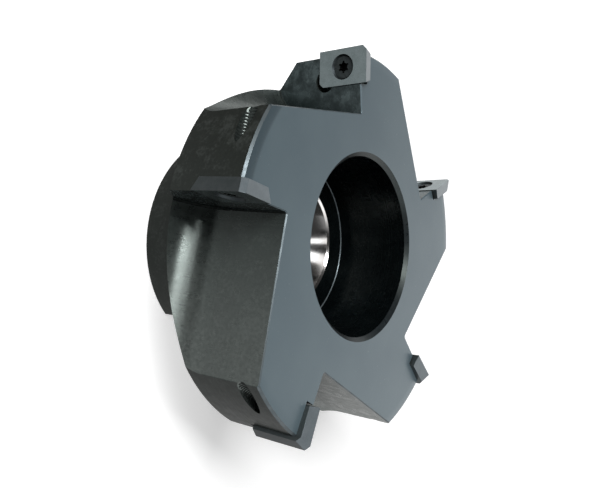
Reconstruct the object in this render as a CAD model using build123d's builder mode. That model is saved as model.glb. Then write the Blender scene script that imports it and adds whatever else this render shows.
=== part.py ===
from build123d import *
import os
from math import radians, sqrt, tan

os.makedirs("parts", exist_ok=True)

# The cutter stands on its hub: the rear face is at height 0 and the cutting edges look up.
# Each tooth is laid out with its cutting corner on the +X axis and its rake face towards +Y.
# It is then turned about the cutter's axis to its own place.

# Cutter as a whole
tooth_count = 5
cutting_diameter = 100.0
overall_height = 50.0
edge_stand_out = 2.2  # the cutting corners stand this far in front of the front face
side_stand_out = 1.5  # and this far outside the disc
first_tooth_angle = 40.5  # from the drive slot to the first cutting corner, in degrees

# Disc and hub
disc_length = 20.2
cone_angle = 47.5  # between the rear cone and the axis, in degrees
hub_diameter = 60.0
hub_blend = 4.0
rear_chamfer = 0.3
front_chamfer = 0.5

# Arbor bore, and the counterbore that takes the arbor screw's head
bore_diameter = 32.0
bore_chamfer = 0.5
counterbore_diameter = 45.0
counterbore_depth = 22.0
counterbore_chamfer = 1.0

# Drive slot across the rear face
slot_width = 14.4
slot_depth = 8.0
slot_corner_radius = 0.8

# Chip gash in front of each tooth
gash_depth = 17.0  # from the cutting corner in to the flat floor
wall_step = 0.25  # from the insert's rake face down to the wall behind it, which runs parallel
floor_length = 15.5  # flat part of the floor, from the front face
run_out_radius = 11.2
run_out_angle = 90.0  # the run-out turns this far, from the floor to straight outward
gash_corner_radius = 0.5
gash_edge_break = 0.25

# Insert: a flat plate with two cutting corners, one in use
insert_width = 9.4
insert_length = 14.4
insert_thickness = 3.2
corner_angle = 87.0
corner_bevel = 1.55  # length of the bevel that cuts each cutting corner
front_relief = 14.0  # of the front and rear flanks, in degrees
side_relief = 15.0  # of the outer and inner flanks, in degrees
axial_rake = 2.0
dish_angle = 3.2

# Pocket
pocket_gap = 0.08  # between the insert's edges and the pocket's walls
relief_diameter = 5.7
relief_offset = 1.7  # from both walls of the pocket to the relief hole's axis
relief_depth = 0.4  # below the seat

# Clamping screw, and its tapped hole, which goes right through the tooth
thread_diameter = 3.55  # plain, at the pitch diameter of the M4 thread
thread_clearance = 0.05
screw_length = 9.5
head_diameter = 5.6
head_sink = 0.55  # the head's top lies this far below the rake face
head_angle = 60.0
head_clearance = 0.05
insert_hole_diameter = 4.5
countersink_diameter = 6.5
socket_width = 3.2
socket_core = 2.3
socket_lobe = 0.62
socket_depth = 1.4
tip_chamfer = 0.5

margin = 5.0  # how far a cut runs past what it cuts

# Worked out
body_height = overall_height - edge_stand_out
cutting_radius = cutting_diameter / 2
disc_radius = cutting_radius - side_stand_out
hub_radius = hub_diameter / 2
bore_radius = bore_diameter / 2
counterbore_radius = counterbore_diameter / 2
disc_rear = body_height - disc_length
cone_length = (disc_radius - hub_radius) / tan(radians(cone_angle))
cone_rear = disc_rear - cone_length
counterbore_floor = body_height - counterbore_depth
tooth_pitch = 360 / tooth_count
floor_distance = cutting_radius - gash_depth

# Plane of a rake face: its origin is the cutting corner, +x runs inward along the front edge,
# +y runs forward along the outer edge, and +z points out of the tooth.
rake_plane = Plane(
    origin=(cutting_radius, 0, overall_height),
    x_dir=(-1, 0, 0),
    z_dir=(0, 1, 0),
).rotated((-axial_rake, -dish_angle, 0))
seat_plane = rake_plane.offset(-insert_thickness)

side_lean = 1 / tan(radians(corner_angle))
bevel_run = corner_bevel / sqrt(2)


def plate_point(across, back):
    """Point on an insert, across from its outer edge and back from its front edge."""
    return (across + side_lean * back, -back)


def plate_outline(front_inset, side_inset):
    """Corners of an insert whose flanks are drawn in this far, with its two acute corners bevelled."""
    front = front_inset
    rear = insert_length - front_inset
    outer = side_inset
    inner = insert_width - side_inset
    return [
        plate_point(outer + bevel_run, front),
        plate_point(inner, front),
        plate_point(inner, rear - bevel_run),
        plate_point(inner - bevel_run, rear),
        plate_point(outer, rear),
        plate_point(outer, front + bevel_run),
    ]


def is_gash_edge(edge):
    """True for what a gash leaves on the front face, and False for an arc of the disc's rim."""
    return edge.geom_type != GeomType.CIRCLE or edge.radius < hub_radius


insert_centre = plate_point(insert_width / 2, insert_length / 2)

# Chip gash: its floor is flat, then runs out in an arc to the rear cone
with BuildPart() as gash:
    with BuildSketch(Plane.XZ):
        with BuildLine():
            floor_line = Line(
                (floor_distance, body_height + margin),
                (floor_distance, body_height - floor_length),
            )
            run_out = JernArc(floor_line @ 1, floor_line % 1, radius=run_out_radius, arc_size=run_out_angle)
            Polyline(
                run_out @ 1,
                (disc_radius + margin, (run_out @ 1).Y),
                (disc_radius + margin, body_height + margin),
                floor_line @ 0,
            )
        make_face()
    extrude(amount=disc_radius, both=True)
    split(bisect_by=rake_plane.offset(-wall_step), keep=Keep.TOP)
    gash_wall = gash.faces().sort_by(Axis.Y)[0]
    fillet(gash_wall.edges().sort_by(Axis.X)[0:2], radius=gash_corner_radius)

# Insert pocket, with the relief hole at its inner rear corner and the tapped hole through the tooth
pocket_inner = insert_width + pocket_gap
pocket_rear = insert_length + pocket_gap
relief_centre = plate_point(pocket_inner - relief_offset, pocket_rear - relief_offset)
with BuildPart() as pocket:
    with BuildSketch(seat_plane):
        with BuildLine():
            Polyline(
                plate_point(pocket_inner, pocket_rear),
                plate_point(pocket_inner, -margin),
                plate_point(-margin, -margin),
                plate_point(-margin, pocket_rear),
                close=True,
            )
        make_face()
    extrude(amount=insert_thickness + margin)
    with BuildSketch(seat_plane.offset(-relief_depth)):
        with Locations(relief_centre):
            Circle(relief_diameter / 2)
    extrude(amount=insert_thickness + relief_depth + margin)
    with BuildSketch(seat_plane):
        with Locations(insert_centre):
            Circle(thread_diameter / 2)
    extrude(amount=-disc_radius)

# Body: bore, counterbore, hub, rear cone and disc are turned, and the rest is milled and drilled
with BuildPart() as cutter_body:
    with BuildSketch(Plane.XZ):
        with BuildLine():
            Polyline(
                (bore_radius + bore_chamfer, 0),
                (hub_radius - rear_chamfer, 0),
                (hub_radius, rear_chamfer),
                (hub_radius, cone_rear),
                (disc_radius, disc_rear),
                (disc_radius, body_height - front_chamfer),
                (disc_radius - front_chamfer, body_height),
                (counterbore_radius + counterbore_chamfer, body_height),
                (counterbore_radius, body_height - counterbore_chamfer),
                (counterbore_radius, counterbore_floor),
                (bore_radius + bore_chamfer, counterbore_floor),
                (bore_radius, counterbore_floor - bore_chamfer),
                (bore_radius, bore_chamfer),
                close=True,
            )
        make_face()
    revolve(axis=Axis.Z)
    cone_face = cutter_body.faces().filter_by(GeomType.CONE).sort_by(SortBy.AREA)[-1]
    fillet(cone_face.edges().sort_by(Axis.Z)[0], radius=hub_blend)
    with BuildSketch(Plane.YZ):
        with Locations((0, slot_depth / 2 - margin / 2)):
            Rectangle(slot_width, slot_depth + margin)
        fillet(vertices().group_by(Axis.Y)[-1], radius=slot_corner_radius)
    extrude(amount=disc_radius, both=True, mode=Mode.SUBTRACT)
    with PolarLocations(0, tooth_count, start_angle=first_tooth_angle):
        add(gash.part, mode=Mode.SUBTRACT)
    front_outline = cutter_body.faces().filter_by(Axis.Z).sort_by(Axis.Z)[-1].outer_wire()
    chamfer(front_outline.edges().filter_by(is_gash_edge), length=gash_edge_break)
    with PolarLocations(0, tooth_count, start_angle=first_tooth_angle):
        add(pocket.part, mode=Mode.SUBTRACT)
cutter_body.part.label = "cutter_body"
export_step(cutter_body.part, "parts/cutter_body.step")

# One insert and one screw in the place of a tooth whose cutting corner is on the +X axis
front_draw = insert_thickness * tan(radians(front_relief))
side_draw = insert_thickness * tan(radians(side_relief))
countersink_depth = (countersink_diameter - insert_hole_diameter) / 2 / tan(radians(head_angle / 2))
with BuildPart() as insert_blank:
    with BuildSketch(rake_plane):
        with BuildLine():
            Polyline(*plate_outline(0, 0), close=True)
        make_face()
    with BuildSketch(seat_plane):
        with BuildLine():
            Polyline(*plate_outline(front_draw, side_draw), close=True)
        make_face()
    loft(ruled=True)
    with BuildSketch(rake_plane):
        with Locations(insert_centre):
            Circle(insert_hole_diameter / 2)
    extrude(amount=-insert_thickness, mode=Mode.SUBTRACT)
    with BuildSketch(rake_plane):
        with Locations(insert_centre):
            Circle(countersink_diameter / 2)
    with BuildSketch(rake_plane.offset(-countersink_depth)):
        with Locations(insert_centre):
            Circle(insert_hole_diameter / 2)
    loft(ruled=True, mode=Mode.SUBTRACT)

screw_origin = rake_plane.from_local_coords((*insert_centre, -head_sink))
screw_plane = Plane(origin=screw_origin, x_dir=rake_plane.x_dir, z_dir=rake_plane.z_dir)
head_radius = head_diameter / 2
shank_radius = thread_diameter / 2 - thread_clearance
head_slope = tan(radians(head_angle / 2))
rim_height = (countersink_diameter / 2 - head_clearance - head_radius) / head_slope - head_sink
head_height = rim_height + (head_radius - shank_radius) / head_slope

with BuildPart() as screw_blank:
    with BuildSketch(Plane.XZ):
        with BuildLine():
            Polyline(
                (0, 0),
                (head_radius, 0),
                (head_radius, -rim_height),
                (shank_radius, -head_height),
                (shank_radius, tip_chamfer - screw_length),
                (shank_radius - tip_chamfer, -screw_length),
                (0, -screw_length),
                close=True,
            )
        make_face()
    revolve(axis=Axis.Z)
    with BuildSketch():
        Circle(socket_core / 2)
        with PolarLocations((socket_width - socket_lobe) / 2, 6):
            Circle(socket_lobe / 2)
    extrude(amount=-socket_depth, mode=Mode.SUBTRACT)

for number in range(1, tooth_count + 1):
    turn = Location((0, 0, 0), (0, 0, first_tooth_angle - (number - 1) * tooth_pitch))
    with BuildPart() as insert:
        with Locations(turn):
            add(insert_blank.part)
    insert.part.label = f"insert_{number}"
    export_step(insert.part, f"parts/insert_{number}.step")
    with BuildPart() as insert_screw:
        with Locations(turn * screw_plane.location):
            add(screw_blank.part)
    insert_screw.part.label = f"insert_screw_{number}"
    export_step(insert_screw.part, f"parts/insert_screw_{number}.step")
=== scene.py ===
import math

import bmesh
import bpy
from mathutils import Matrix, Vector


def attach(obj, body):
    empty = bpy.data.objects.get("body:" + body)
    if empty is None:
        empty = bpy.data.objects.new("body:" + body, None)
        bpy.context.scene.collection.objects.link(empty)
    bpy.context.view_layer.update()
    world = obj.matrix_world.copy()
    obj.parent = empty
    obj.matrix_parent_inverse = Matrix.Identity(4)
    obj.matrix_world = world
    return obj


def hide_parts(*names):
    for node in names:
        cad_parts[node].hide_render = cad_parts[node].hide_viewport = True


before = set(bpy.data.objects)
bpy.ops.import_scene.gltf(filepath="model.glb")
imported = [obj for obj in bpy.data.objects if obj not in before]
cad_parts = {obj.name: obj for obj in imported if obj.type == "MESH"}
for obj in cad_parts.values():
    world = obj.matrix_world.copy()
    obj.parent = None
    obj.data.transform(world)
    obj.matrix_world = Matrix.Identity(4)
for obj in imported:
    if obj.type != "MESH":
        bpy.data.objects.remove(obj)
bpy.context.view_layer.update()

scene = bpy.context.scene

MM = 0.001

# The cutter, in millimetres and radians. Its front face looks along +Z.
TOOTH_COUNT = 5
TOOTH_PITCH = 2 * math.pi / TOOTH_COUNT
FIRST_TOOTH = math.radians(40.5)
HEEL_ANGLE = math.radians(25)  # a tooth's sector starts this far behind its cutting corner
AXIAL_RAKE = math.radians(2.0)
FRONT_FACE = 47.8
FRONT_CHAMFER = 0.5
DISC_REAR = 27.6
DISC_RADIUS = 48.5
CONE_REAR = 10.65
HUB_RADIUS = 30.0
REAR_CHAMFER = 0.3
BORE_RADIUS = 16.0
BORE_CHAMFER = 0.5
COUNTERBORE_RADIUS = 22.5
COUNTERBORE_FLOOR = 25.8
COUNTERBORE_CHAMFER = 1.0
GASH_FLOOR = 33.0  # from the cutter's axis
HAIR = 0.05  # a step too small to see
SEAM_WIDTH = 0.002
STILL_FLAT = math.radians(0.3)

TURNED_PROFILE = [
    (BORE_RADIUS + BORE_CHAMFER, 0.0),
    (HUB_RADIUS - REAR_CHAMFER, 0.0),
    (HUB_RADIUS, REAR_CHAMFER),
    (HUB_RADIUS, CONE_REAR),
    (DISC_RADIUS, DISC_REAR),
    (DISC_RADIUS, FRONT_FACE - FRONT_CHAMFER),
    (DISC_RADIUS - FRONT_CHAMFER, FRONT_FACE),
]
TURNED_SLACK = 0.45  # the corners of a turned face lie this near the profile
RING_SLACK = 0.25  # and the middles of the bore's and the rim's faces this near their own outlines

# Cosines between the way a face looks and a direction
FLAT = 0.97
SQUARE_ON = 0.9
FORWARD_LIT = 0.5
SLOPING = 0.2
INWARD = 0.3
SIDEWAYS = 0.1
WALL_AHEAD = 0.85  # the wall behind an insert looks ahead of its tooth at least so much
WALL_EDGE_AHEAD = 0.4  # the break on that wall's front edge
CREASE_AHEAD = 0.12  # and the fillet between the wall and the gash's floor

# Tapped hole of a tooth whose cutting corner is on +X
HOLE_ENTRY = Vector((45.332, -3.459, 42.644))  # where its axis meets the insert's seat
HOLE_AXIS = Vector((0.0, -math.cos(AXIAL_RAKE), math.sin(AXIAL_RAKE)))
HOLE_RADIUS = 1.775
THREAD_PITCH = 0.7
THREAD_CREST = 1.67  # radius to the top of the ridge
THREAD_TOP = 0.05  # half the ridge's width at its top
THREAD_FOOT = 0.27  # and at the wall of the hole
THREAD_START = 7.25  # from the seat to the first ridge, just past the screw's tip
THREAD_LENGTH = 17.0
THREAD_STEPS = 24  # for each turn

# Insert and screw
COUNTERSINK_REACH = 3.27  # the faces of the insert's hole lie within this distance of its axis
EDGE_ROUNDING = 0.05
SHARP_EDGE = math.radians(30)
SOCKET_REACH = 1.65
SOCKET_DEPTHS = (0.2, 1.9)  # the faces of the socket lie between these depths below the screw's top

# Fillet at the counterbore's floor: each corner's offset from the counterbore's own corner
FILLET_SECTION = [(0.01, -0.01), (0.01, 0.25), (-0.07, 0.13), (-0.13, 0.07), (-0.25, -0.01)]
FILLET_STEPS = 160

# Colours. What blackened_steel makes reflects a little green, and the other finishes a little blue.
COOL = (0.78, 0.93, 1.0, 1.0)
GREENISH = (0.87, 1.0, 0.95, 1.0)
WHITE = (1.0, 1.0, 1.0, 1.0)
# the pale colour of residue, and of the painted light on the gash floors
RESIDUE_AND_PAINTED_LIGHT = (0.10, 0.11, 0.105)

# The front face rolls over towards the rim, and at one tooth a band there is painted darker: painted shade
ROLL_START = 45.8
ROLL_DROP = 0.035  # at one millimetre past the start, and growing with the square of the distance
SHADE_BAND_START = 45.2
SHADE_BAND_FULL = 46.1
SHADE_BAND_MIDDLE = (-0.17, 0.985, 0.0)


class Nodes:
    """The node tree of a material or a world, with short calls for the nodes used here."""

    def __init__(self, owner, output):
        self.owner = owner
        owner.use_nodes = True
        self.tree = owner.node_tree
        self.tree.nodes.clear()
        self.output = self.add(output)

    def add(self, kind, inputs=None, **settings):
        node = self.tree.nodes.new("ShaderNode" + kind)
        for key, value in settings.items():
            setattr(node, key, value)
        for key, value in (inputs or {}).items():
            if isinstance(value, bpy.types.NodeSocket):
                self.tree.links.new(value, node.inputs[key])
            else:
                node.inputs[key].default_value = value
        return node

    def finish(self, shader):
        self.tree.links.new(shader.outputs[0], self.output.inputs["Surface"])
        return self.owner

    def math(self, operation, a, b=0.0):
        return self.add("Math", {0: a, 1: b}, operation=operation).outputs[0]

    def plus(self, a, b):
        return self.math("ADD", a, b)

    def times(self, a, b):
        return self.math("MULTIPLY", a, b)

    def span(self, value, low, high, to_low=0.0, to_high=1.0):
        """Maps low..high to to_low..to_high, smoothly and clamped."""
        inputs = {"Value": value, "From Min": low, "From Max": high, "To Min": to_low, "To Max": to_high}
        return self.add("MapRange", inputs, interpolation_type="SMOOTHSTEP").outputs["Result"]

    def between(self, factor, a, b):
        """A number from a, at factor 0, to b, at factor 1."""
        return self.add("Mix", {"Factor": factor, "A": a, "B": b}).outputs["Result"]

    def mix(self, factor, a, b):
        """A colour from a, at factor 0, to b, at factor 1."""
        inputs = {"Factor": factor}
        for index, colour in ((6, a), (7, b)):
            inputs[index] = (*colour, 1.0) if isinstance(colour, tuple) else colour
        return self.add("Mix", inputs, data_type="RGBA").outputs[2]

    def parts(self, vector):
        return list(self.add("SeparateXYZ", {0: vector}).outputs)

    def along(self, vector, direction):
        """How far a vector reaches in a direction."""
        return self.add("VectorMath", {0: vector, 1: direction}, operation="DOT_PRODUCT").outputs["Value"]

    def length(self, vector):
        return self.add("VectorMath", {0: vector}, operation="LENGTH").outputs["Value"]

    def stretch(self, vector, factors):
        return self.add("VectorMath", {0: vector, 1: factors}, operation="MULTIPLY").outputs[0]

    def noise(self, vector, scale, detail, roughness):
        inputs = {"Vector": vector, "Scale": scale, "Detail": detail, "Roughness": roughness}
        return self.add("TexNoise", inputs).outputs["Fac"]

    def specks(self, vector, scale, low, high, to_high=1.0):
        """Sparse dots, thicker as low comes down."""
        return self.span(self.noise(vector, scale, 1.0, 0.4), low, high, 0.0, to_high)


class Finish(Nodes):
    """A material whose marks are placed by the spot on the object, in millimetres."""

    def __init__(self, name):
        super().__init__(bpy.data.materials.new(name), "OutputMaterial")
        coordinates = self.add("TexCoord").outputs["Object"]
        self.spot = self.stretch(coordinates, (1 / MM, 1 / MM, 1 / MM))

    def ring_spot(self):
        """Distance from the axis and height, for marks that run round the axis."""
        x, y, z = self.parts(self.spot)
        radius = self.math("SQRT", self.plus(self.times(x, x), self.times(y, y)))
        return self.add("CombineXYZ", {0: radius, 2: z}).outputs[0]

    def tooth_angle(self):
        """Angle of the tooth whose sector the spot is in."""
        x, y, _ = self.parts(self.spot)
        angle = self.plus(self.math("ARCTAN2", y, x), HEEL_ANGLE - FIRST_TOOTH)
        sector = self.math("FLOOR", self.math("DIVIDE", angle, TOOTH_PITCH))
        return self.plus(self.times(sector, TOOTH_PITCH), FIRST_TOOTH)

    def turned(self, vector, angle):
        return self.add("VectorRotate", {"Vector": vector, "Angle": angle}, rotation_type="Z_AXIS").outputs[0]

    def tooth_spot(self):
        """The spot turned to the frame of a tooth whose cutting corner is on +X."""
        return self.turned(self.spot, self.times(self.tooth_angle(), -1.0))

    def tooth_tangent(self):
        """The way that a tooth's rake face looks, across the milling marks."""
        return self.turned((0.0, 1.0, 0.0), self.tooth_angle())

    def bump(self, height):
        """A surface normal from heights in millimetres."""
        return self.add("Bump", {"Height": height, "Strength": 1.0, "Distance": MM}).outputs["Normal"]

    def principled(self, **inputs):
        named = {key.replace("_", " "): value for key, value in inputs.items()}
        named.setdefault("Specular Tint", COOL)
        return self.finish(self.add("BsdfPrincipled", named))


def scaled(colour, factor):
    return tuple(channel * factor for channel in colour)


def blackened_steel(name, colour, share, rough, ior, marks=None, depth=0.0, open_end_light=0.0):
    """Blackened steel: an oxide colour, a paler residue in patches and specks, and tool marks of some depth.
    share is how much residue there is, and the last argument how much painted light makes a milled floor
    paler towards its gash's open end, leaving painted shade by the wall."""
    steel = Finish(name)
    broad = steel.noise(steel.spot, 0.12, 4.0, 0.6)
    fine = steel.noise(steel.spot, 1.4, 5.0, 0.7)
    blend = steel.plus(steel.times(broad, 0.5), steel.times(fine, 0.5))
    light = scaled(colour, 1.3)
    base = steel.mix(steel.span(blend, 0.40, 0.60), scaled(colour, 0.75), light)
    cloud = steel.times(steel.noise(steel.spot, 0.35, 3.0, 0.6), 0.6)
    patches = steel.times(steel.span(steel.plus(blend, cloud), 0.78, 0.96), share)
    specks = steel.times(steel.specks(steel.spot, 2.6, 0.74, 0.80), share * 1.5)
    residue_and_painted_light = steel.plus(patches, specks)
    height = steel.times(fine, 0.004)
    stains = steel.noise(steel.spot, 0.5, 4.0, 0.6)
    roughness = steel.span(stains, 0.3, 0.7, rough - 0.03, rough + 0.05)
    if marks == "milled":
        place = steel.tooth_spot()
        lines = steel.noise(steel.stretch(place, (0.04, 2.0, 0.04)), 1.0, 5.0, 0.75)
        # painted light: paler away from the wall towards the gash's open end, with painted shade by the wall
        end = steel.span(steel.parts(place)[1], 0.0, 34.0, 0.0, open_end_light)
        residue_and_painted_light = steel.plus(residue_and_painted_light, steel.times(end, steel.span(fine, 0.25, 0.75, 0.6, 1.3)))
    elif marks == "turned":
        lines = steel.noise(steel.stretch(steel.ring_spot(), (2.2, 1.0, 2.2)), 1.0, 4.0, 0.7)
    if marks:
        base = steel.mix(steel.span(lines, 0.35, 0.65, 0.0, 0.6), base, light)
        height = steel.plus(height, steel.times(lines, depth))
        roughness = steel.plus(roughness, steel.span(lines, 0.3, 0.7, -0.03, 0.04))
    looks = {
        "Base_Color": steel.mix(steel.math("MINIMUM", residue_and_painted_light, 1.0), base, RESIDUE_AND_PAINTED_LIGHT),
        "Roughness": roughness,
        "IOR": ior,
        "Specular_Tint": GREENISH,
        "Normal": steel.bump(height),
    }
    if marks == "milled":
        looks["Anisotropic"] = 0.75
        looks["Tangent"] = steel.tooth_tangent()
    return steel.principled(**looks)


def wall_steel():
    """The wall behind an insert: painted shade towards its inner rear corner, and a pale mottled bloom over
    the rest.
    """
    steel = Finish("steel_wall")
    x, _, z = steel.parts(steel.tooth_spot())
    across = steel.plus(x, steel.times(z, 0.35))
    cloud = steel.noise(steel.spot, 0.30, 5.0, 0.68)
    fine = steel.noise(steel.spot, 1.6, 5.0, 0.7)
    # the bloom fades out towards the wall's inner rear corner, by the gash's floor: painted shade there
    bloom_with_painted_shade = steel.times(steel.span(across, 45.5, 55.0, 0.02, 1.0), steel.span(cloud, 0.36, 0.66, 0.15, 1.0))
    grains = steel.plus(steel.span(fine, 0.52, 0.66, 0.0, 0.30), 0.7)
    specks = steel.specks(steel.spot, 2.4, 0.74, 0.82, 0.6)
    cover = steel.plus(steel.times(bloom_with_painted_shade, grains), steel.times(specks, bloom_with_painted_shade))
    base = steel.mix(steel.span(fine, 0.3, 0.7), (0.010, 0.0145, 0.0145), (0.017, 0.024, 0.024))
    return steel.principled(
        Base_Color=steel.mix(steel.math("MINIMUM", cover, 1.0), base, (0.110, 0.142, 0.145)),
        Roughness=steel.span(cloud, 0.3, 0.7, 0.22, 0.30),
        IOR=1.45,
        Normal=steel.bump(steel.times(fine, 0.004)),
    )


def front_steel():
    """The front face: slate grey, rolled over a little at the disc's rim, with a band of painted shade there
    at one tooth.
    """
    steel = Finish("steel_front")
    broad = steel.noise(steel.spot, 0.05, 3.0, 0.5)
    grain = steel.noise(steel.spot, 3.0, 5.0, 0.75)
    base = steel.mix(steel.span(broad, 0.35, 0.65), (0.060, 0.087, 0.103), (0.072, 0.101, 0.116))
    base = steel.mix(steel.span(grain, 0.35, 0.65, 0.0, 0.4), base, (0.077, 0.103, 0.115))
    base = steel.mix(steel.specks(steel.spot, 1.7, 0.75, 0.83, 0.25), base, (0.30, 0.33, 0.34))
    radius = steel.parts(steel.ring_spot())[0]
    # painted shade: a darker band along the rim, at one tooth only
    at_tooth = steel.span(steel.along(steel.spot, SHADE_BAND_MIDDLE), 38.0, 44.0, 0.0, 0.75)
    painted_shade_band = steel.times(steel.span(radius, SHADE_BAND_START, SHADE_BAND_FULL), at_tooth)
    over = steel.math("MAXIMUM", steel.math("SUBTRACT", radius, ROLL_START), 0.0)
    rolled = steel.times(steel.times(over, over), -ROLL_DROP)
    return steel.principled(
        Base_Color=steel.mix(painted_shade_band, base, (0.030, 0.045, 0.054)),
        Roughness=steel.span(grain, 0.3, 0.7, 0.36, 0.44),
        IOR=1.5,
        Normal=steel.bump(steel.plus(rolled, steel.times(grain, 0.004))),
    )


def bore_steel():
    """The bare arbor bore, honed in rings and a little stained."""
    steel = Finish("steel_bore")
    rings = steel.noise(steel.stretch(steel.ring_spot(), (0.0, 0.0, 5.0)), 1.0, 4.0, 0.7)
    stain = steel.span(steel.noise(steel.spot, 0.16, 3.0, 0.6), 0.42, 0.68)
    return steel.principled(
        Base_Color=steel.mix(stain, (0.68, 0.675, 0.67), (0.60, 0.58, 0.56)),
        Metallic=1.0,
        Roughness=steel.span(rings, 0.3, 0.7, 0.09, 0.16),
        Normal=steel.bump(steel.times(rings, 0.003)),
    )


def rubbed_and_highlit_edge():
    """Chamfers, lighter than the oxide round them: partly oxide rubbed thin by handling, partly a painted
    highlight along the edges.
    """
    steel = Finish("steel_edge")
    wear_and_highlight = steel.span(steel.noise(steel.spot, 0.35, 3.0, 0.5), 0.35, 0.65)
    base = steel.mix(wear_and_highlight, (0.035, 0.044, 0.048), (0.065, 0.076, 0.081))
    return steel.principled(Base_Color=base, Roughness=steel.span(wear_and_highlight, 0.0, 1.0, 0.40, 0.30), IOR=1.65)


def carbide(name, low, high, rough):
    """Ground carbide: cloudy between two colours, with a paler fine grain."""
    grey = Finish(name)
    cloud = grey.noise(grey.spot, 0.45, 5.0, 0.7)
    grain = grey.noise(grey.spot, 4.0, 4.0, 0.7)
    base = grey.mix(grey.span(cloud, 0.35, 0.65), low, high)
    return grey.principled(
        Base_Color=grey.mix(grey.span(grain, 0.4, 0.7, 0.0, 0.3), base, scaled(high, 1.5)),
        Roughness=grey.span(grain, 0.3, 0.7, rough - 0.04, rough + 0.05),
        IOR=1.6,
        Normal=grey.bump(grey.times(grain, 0.003)),
    )


def screw_steel(name, low, high, ior):
    """Blackened screw steel, grainy between two colours."""
    steel = Finish(name)
    grain = steel.noise(steel.spot, 1.8, 4.0, 0.65)
    return steel.principled(
        Base_Color=steel.mix(steel.span(grain, 0.35, 0.65), low, high),
        Roughness=steel.span(grain, 0.3, 0.7, 0.34, 0.46),
        IOR=ior,
        Normal=steel.bump(steel.times(grain, 0.004)),
    )


BODY_FINISHES = {
    "front": front_steel(),
    "edge": rubbed_and_highlit_edge(),
    "rim": blackened_steel("steel_rim", (0.010, 0.013, 0.015), 0.05, 0.3, 1.4),
    "turned": blackened_steel("steel_turned", (0.007, 0.0083, 0.0065), 0.20, 0.36, 1.5, "turned", 0.004),
    "milled": blackened_steel(
        "steel_milled", (0.012, 0.0155, 0.0145), 0.12, 0.29, 1.8, "milled", 0.030, 0.60
    ),
    # the fillet between a wall and its gash's floor is painted darker and duller than the milled steel:
    # painted shade in the crease
    "crease": blackened_steel("steel_crease", (0.006, 0.008, 0.0075), 0.05, 0.6, 1.25),
    "wall": wall_steel(),
    "counterbore": blackened_steel(
        "steel_counterbore", (0.0015, 0.0025, 0.0028), 0.015, 0.26, 1.22, "turned", 0.001
    ),
    "bore": bore_steel(),
}
THREAD = blackened_steel("steel_thread", (0.016, 0.019, 0.018), 0.05, 0.65, 1.35)
INSERT_FINISHES = {
    # Flanks that face sideways are painted nearly black as shade, and those that face forward a lighter grey
    # as lit: painted shade and painted light on one carbide.
    "shaded_flank": carbide("carbide_flank", (0.018, 0.022, 0.022), (0.030, 0.034, 0.034), 0.34),
    "rake": carbide("carbide_rake", (0.175, 0.214, 0.218), (0.212, 0.254, 0.260), 0.23),
    "lit_face": carbide("carbide_land", (0.080, 0.094, 0.102), (0.098, 0.113, 0.122), 0.34),
    # near black: painted shade in the insert's countersink, round the screw head
    "hole": carbide("carbide_hole", (0.002, 0.0025, 0.0025), (0.004, 0.005, 0.005), 0.5),
}
SCREW_FINISHES = {
    "head": screw_steel("screw_steel", (0.018, 0.022, 0.022), (0.034, 0.040, 0.040), 1.5),
    # near black: painted shade inside the screw's socket
    "socket": screw_steel("screw_socket", (0.002, 0.002, 0.002), (0.004, 0.004, 0.004), 1.2),
}


def linked(name, content):
    """A new object in the scene for a mesh, a lamp or a camera."""
    thing = bpy.data.objects.new(name, content)
    scene.collection.objects.link(thing)
    return thing


def copied(node, name):
    """A clean copy of a CAD node's mesh, with its seams joined and its flat faces whole."""
    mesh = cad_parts[node].data.copy()
    mesh.name = name
    piece = linked(name, mesh)
    work = bmesh.new()
    work.from_mesh(mesh)
    bmesh.ops.remove_doubles(work, verts=work.verts, dist=SEAM_WIDTH * MM)
    bmesh.ops.dissolve_limit(work, angle_limit=STILL_FLAT, verts=work.verts, edges=work.edges)
    work.normal_update()
    return piece, work


def paint(piece, work, finishes, chosen):
    """Gives each face the finish that chosen(face) names."""
    names = list(finishes)
    piece.data.materials.clear()
    for name in names:
        piece.data.materials.append(finishes[name])
    for face in work.faces:
        face.material_index = names.index(chosen(face))


def settle(piece, work, smooth_angle):
    """Writes the work mesh back, smooth except over edges sharper than the angle, in degrees."""
    for face in work.faces:
        face.smooth = True
    for edge in work.edges:
        edge.smooth = edge.is_manifold and edge.calc_face_angle(0.0) < math.radians(smooth_angle)
    work.to_mesh(piece.data)
    work.free()
    piece.data.update()
    weighted = piece.modifiers.new("weighted", "WEIGHTED_NORMAL")
    weighted.keep_sharp = True
    weighted.weight = 100


def profile_distance(corner):
    """How far a point is from the turned profile."""
    point = Vector((math.hypot(corner.x, corner.y), corner.z))
    best = math.inf
    for start, end in zip(TURNED_PROFILE[:-1], TURNED_PROFILE[1:]):
        a = Vector(start)
        b = Vector(end)
        share = max(0.0, min(1.0, (point - a).dot(b - a) / (b - a).length_squared))
        best = min(best, (point - a.lerp(b, share)).length)
    return best


def ahead_of_tooth(centre, normal):
    """How squarely a face looks the way that its tooth's rake face does."""
    angle = math.atan2(centre.y, centre.x) + HEEL_ANGLE - FIRST_TOOTH
    tooth = FIRST_TOOTH + math.floor(angle / TOOTH_PITCH) * TOOTH_PITCH
    return normal.y * math.cos(tooth) - normal.x * math.sin(tooth)


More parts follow.
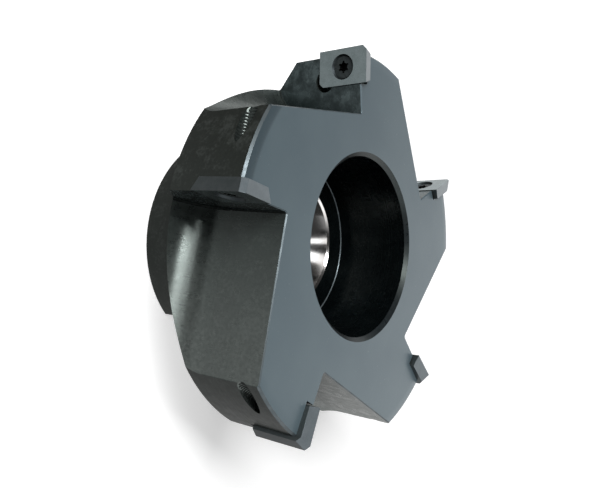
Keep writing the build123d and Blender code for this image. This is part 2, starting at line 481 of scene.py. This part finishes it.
def body_zone(face):
    """The name of the finish that a face of the body has."""
    centre = face.calc_center_median() / MM
    normal = face.normal
    radius = max(math.hypot(centre.x, centre.y), HAIR)
    outward = (normal.x * centre.x + normal.y * centre.y) / radius
    sideways = abs(normal.x * centre.y - normal.y * centre.x) / radius
    ahead = ahead_of_tooth(centre, normal)
    in_bore = radius < BORE_RADIUS + BORE_CHAMFER + RING_SLACK and centre.z < COUNTERBORE_FLOOR + 2 * HAIR
    if in_bore and outward < -INWARD:
        return "bore"
    if centre.z > FRONT_FACE - COUNTERBORE_CHAMFER and SLOPING < normal.z < FLAT:
        if radius < COUNTERBORE_RADIUS + COUNTERBORE_CHAMFER + RING_SLACK:
            return "rim"
        return "front" if ahead > WALL_EDGE_AHEAD else "edge"
    if centre.z > FRONT_FACE - HAIR and normal.z > FLAT:
        return "front"
    if radius < COUNTERBORE_RADIUS + 2 * HAIR and centre.z > COUNTERBORE_FLOOR - 2 * HAIR:
        return "counterbore"
    farthest = max(profile_distance(vertex.co / MM) for vertex in face.verts)
    if farthest < TURNED_SLACK and sideways < SIDEWAYS:
        return "turned"
    if ahead > WALL_AHEAD:
        return "wall"
    return "crease" if ahead > CREASE_AHEAD and radius > GASH_FLOOR else "milled"


def make_body():
    body, work = copied("cutter_body", "body")
    paint(body, work, BODY_FINISHES, body_zone)
    settle(body, work, smooth_angle=33)
    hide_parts("cutter_body")
    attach(body, "root")


def join_sections(work, here, following):
    """A band of faces between two closed sections with as many corners."""
    for i in range(len(here)):
        j = (i + 1) % len(here)
        work.faces.new((here[i], here[j], following[j], following[i]))


def make_counterbore_fillet():
    """The narrow fillet that the turning tool's nose leaves round the counterbore's floor."""
    work = bmesh.new()
    rings = []
    for step in range(FILLET_STEPS):
        angle = 2 * math.pi * step / FILLET_STEPS
        ring = []
        for along, up in FILLET_SECTION:
            radius = COUNTERBORE_RADIUS + along
            corner = Vector((radius * math.cos(angle), radius * math.sin(angle), COUNTERBORE_FLOOR + up))
            ring.append(work.verts.new(corner * MM))
        rings.append(ring)
    for here, following in zip(rings, rings[1:] + rings[:1]):
        join_sections(work, here, following)
    bmesh.ops.recalc_face_normals(work, faces=work.faces)
    fillet = linked("counterbore_fillet", bpy.data.meshes.new("counterbore_fillet"))
    # the lighter edge finish here is partly a painted highlight, drawing a bright ring round the
    # counterbore's floor
    fillet.data.materials.append(BODY_FINISHES["edge"])
    settle(fillet, work, smooth_angle=60)
    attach(fillet, "root")


def hole_distance(face, turn):
    """Distance of a face's middle from the axis of its tooth's tapped hole, in millimetres."""
    middle = face.calc_center_median() / MM
    return (middle - turn @ HOLE_ENTRY).cross(turn @ HOLE_AXIS).length


def make_insert(number, turn):
    insert, work = copied(f"insert_{number}", f"cutting_insert_{number}")
    sharp = [edge for edge in work.edges if edge.is_manifold and edge.calc_face_angle(0.0) > SHARP_EDGE]
    bmesh.ops.bevel(
        work,
        geom=sharp,
        offset=EDGE_ROUNDING * MM,
        segments=2,
        profile=0.5,
        affect="EDGES",
        clamp_overlap=False,
    )
    ahead = turn @ Vector((0.0, 1.0, 0.0))

    def insert_zone(face):
        facing = face.normal.dot(ahead)
        if facing > SQUARE_ON:
            return "rake"
        if facing > -SQUARE_ON and hole_distance(face, turn) < COUNTERSINK_REACH:
            return "hole"
        # forward-facing flanks take the painted-light grey, the others the painted-shade grey
        return "lit_face" if face.normal.z > FORWARD_LIT else "shaded_flank"

    paint(insert, work, INSERT_FINISHES, insert_zone)
    settle(insert, work, smooth_angle=50)
    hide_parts(f"insert_{number}")
    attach(insert, "root")


def make_screw(number, turn):
    screw, work = copied(f"insert_screw_{number}", f"clamp_screw_{number}")
    ahead = turn @ Vector((0.0, 1.0, 0.0))
    top = max(vertex.co.dot(ahead) for vertex in work.verts)

    def screw_zone(face):
        depth = (top - face.calc_center_median().dot(ahead)) / MM
        in_socket = SOCKET_DEPTHS[0] < depth < SOCKET_DEPTHS[1] and hole_distance(face, turn) < SOCKET_REACH
        return "socket" if in_socket else "head"

    paint(screw, work, SCREW_FINISHES, screw_zone)
    settle(screw, work, smooth_angle=33)
    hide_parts(f"insert_screw_{number}")
    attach(screw, "root")


def inside_tooth(point):
    """True where the body stands round a tapped hole, for a point in the frame of a tooth on +X."""
    in_disc = math.hypot(point.x, point.y) < DISC_RADIUS - HAIR
    towards_next_gash = math.cos(TOOTH_PITCH) * point.x - math.sin(TOOTH_PITCH) * point.y
    return in_disc and towards_next_gash < GASH_FLOOR - HAIR


def make_hole_thread(number, turn):
    """The thread of a tapped hole beyond the screw's tip: a helical ridge, broken where the hole is open."""
    side = Vector((1.0, 0.0, 0.0))
    other = HOLE_AXIS.cross(side)
    foot_radius = HOLE_RADIUS + 0.01
    section = [
        (-THREAD_FOOT, foot_radius),
        (-THREAD_TOP, THREAD_CREST),
        (THREAD_TOP, THREAD_CREST),
        (THREAD_FOOT, foot_radius),
    ]
    work = bmesh.new()
    runs = [[]]
    for step in range(int(THREAD_LENGTH / THREAD_PITCH * THREAD_STEPS)):
        angle = 2 * math.pi * step / THREAD_STEPS
        outward = side * math.cos(angle) + other * math.sin(angle)
        middle = HOLE_ENTRY + HOLE_AXIS * (THREAD_START + THREAD_PITCH * step / THREAD_STEPS)
        points = [middle + HOLE_AXIS * along + outward * radius for along, radius in section]
        if all(inside_tooth(point) for point in points):
            runs[-1].append([work.verts.new(turn @ point * MM) for point in points])
        elif runs[-1]:
            runs.append([])
    for run in runs:
        if len(run) < 3:
            continue
        for here, following in zip(run[:-1], run[1:]):
            join_sections(work, here, following)
        work.faces.new(run[0][::-1])
        work.faces.new(run[-1])
    loose = [vertex for vertex in work.verts if not vertex.link_faces]
    bmesh.ops.delete(work, geom=loose, context="VERTS")
    bmesh.ops.recalc_face_normals(work, faces=work.faces)
    name = f"hole_thread_{number}"
    thread = linked(name, bpy.data.meshes.new(name))
    thread.data.materials.append(THREAD)
    settle(thread, work, smooth_angle=50)
    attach(thread, "root")


# The camera sees a white floor. Other rays meet a dim one, so that it throws little light up at the object,
# and reflections find a glow on it round the cutter and below the bore.
FLOOR_REACH = 3.0  # metres
FLOOR_WHITE = (0.82, 0.82, 0.82, 1.0)
FLOOR_DIM = (0.08, 0.08, 0.08, 1.0)
BORE_GLOW = 0.04
WINDOW_GLOW = 2.2
WINDOWS = [(2.28, 0.10), (1.42, 0.22)]  # bright sectors below the bore: middle angle and half width
WINDOW_BLEND = 0.05


def floor_glow_in_mirrors(floor, reach):
    """How brightly a reflection finds the floor, at this distance from the axis."""
    x, y, _ = floor.parts(floor.spot)
    angle = floor.math("ARCTAN2", y, x)
    windows = 0.0
    for middle, half_width in WINDOWS:
        aside = floor.math("ABSOLUTE", floor.math("SUBTRACT", angle, middle))
        windows = floor.plus(windows, floor.span(aside, half_width, half_width + WINDOW_BLEND, 1.0, 0.0))
    below_bore = floor.plus(BORE_GLOW, floor.times(windows, WINDOW_GLOW))
    towards_minus_x = floor.span(x, -35.0, 45.0, 0.38, 0.03)
    far_plus_x = floor.span(x, 70.0, 125.0, 0.0, 0.85)
    far_minus_y = floor.span(y, -110.0, -50.0, 0.62, 0.0)
    outside = floor.plus(floor.plus(towards_minus_x, far_plus_x), far_minus_y)
    return floor.between(floor.span(reach, 19.0, 22.0, 1.0, 0.0), outside, below_bore)


def floor_finish():
    floor = Finish("floor_white")
    rays = floor.add("LightPath").outputs
    reach = floor.length(floor.spot)
    mirrored = floor.math("MAXIMUM", rays["Is Glossy Ray"], rays["Is Transmission Ray"])
    mirror_glow = floor.times(mirrored, floor_glow_in_mirrors(floor, reach))
    # the floor glows more to the camera towards +Y: painted light that washes out the object's shadow there
    camera_glow = floor.math(
        "MAXIMUM",
        floor.span(floor.parts(floor.spot)[1], -45.0, 5.0, 0.38, 0.62),
        floor.span(reach, 150.0, 450.0),
    )
    sides = []
    for glow, colour in ((mirror_glow, FLOOR_DIM), (camera_glow, FLOOR_WHITE)):
        emission = floor.add("Emission", {"Color": WHITE, "Strength": glow})
        matt = floor.add("BsdfDiffuse", {"Color": colour})
        sides.append(floor.add("AddShader", {0: emission.outputs[0], 1: matt.outputs[0]}).outputs[0])
    return floor.finish(floor.add("MixShader", {0: rays["Is Camera Ray"], 1: sides[0], 2: sides[1]}))


def make_floor():
    mesh = bpy.data.meshes.new("floor")
    corners = [(x * FLOOR_REACH, y * FLOOR_REACH, 0.0) for x, y in ((-1, -1), (1, -1), (1, 1), (-1, 1))]
    mesh.from_pydata(corners, [], [(0, 1, 2, 3)])
    mesh.materials.append(floor_finish())
    linked("floor", mesh)


def make_world():
    """White behind the object. Reflections find it bright towards -X and -Y, above the horizon, and most of
    its soft light comes from +X."""
    sky = Nodes(bpy.data.worlds.new("studio"), "OutputWorld")
    rays = sky.add("LightPath").outputs
    direction = sky.add("TexCoord").outputs["Generated"]
    towards = sky.along(direction, Vector((-0.60, -0.75, -0.50)).normalized())
    raised = sky.span(sky.parts(direction)[2], 0.02, 0.28, 0.08, 1.0)
    mirrored = sky.times(sky.span(towards, -0.35, 0.25, 0.04, 1.56), raised)
    ambient = sky.along(direction, Vector((0.93, 0.33, 0.15)).normalized())
    scattered = sky.span(ambient, -0.30, 0.70, 0.004, 0.68)
    on_object = sky.between(rays["Is Glossy Ray"], scattered, mirrored)
    strength = sky.between(rays["Is Camera Ray"], on_object, 1.0)
    scene.world = sky.finish(sky.add("Background", {"Color": WHITE, "Strength": strength}))


MIDDLE = Vector((0.0, 0.0, 0.025))  # of the object, in metres


def lamp(name, direction, width, height, power):
    """A softbox a metre away from the object's middle in this direction, facing it."""
    light = bpy.data.lights.new(name, "AREA")
    light.shape = "RECTANGLE"
    light.size = width
    light.size_y = height
    light.energy = power
    holder = linked(name, light)
    towards = Vector(direction).normalized()
    holder.location = MIDDLE + towards
    holder.rotation_euler = towards.to_track_quat("Z", "Y").to_euler()


def make_camera():
    """The photograph's own viewpoint, with the picture's centre shifted as it is there."""
    lens_in_image_widths = 1.05332
    data = bpy.data.cameras.new("camera")
    data.sensor_width = 36.0
    data.lens = data.sensor_width * lens_in_image_widths
    data.shift_x = 0.0353
    data.shift_y = -0.1060
    data.clip_start = 0.01
    data.clip_end = 10.0
    right = Vector((0.37574, -0.49135, 0.78575))
    up = Vector((0.77692, 0.62921, 0.02195))
    back = Vector((-0.50519, 0.60222, 0.61816))
    place = Vector((-0.07569, 0.11688, 0.1309))
    camera = linked("camera", data)
    camera.matrix_world = Matrix.Translation(place) @ Matrix((right, up, back)).transposed().to_4x4()
    scene.camera = camera


make_body()
make_counterbore_fillet()
for number in range(1, TOOTH_COUNT + 1):
    turn = Matrix.Rotation(FIRST_TOOTH - (number - 1) * TOOTH_PITCH, 3, "Z")
    make_insert(number, turn)
    make_screw(number, turn)
    make_hole_thread(number, turn)

make_floor()
make_world()
lamp("key", (0.047, 0.669, 0.75), width=0.22, height=0.45, power=9.3)
lamp("spark", (-0.11, 0.83, 0.546), width=0.08, height=0.08, power=0.6)
lamp("side", (0.60, -0.76, 0.25), width=1.2, height=0.5, power=1.8)
make_camera()
scene.view_settings.view_transform = "Standard"
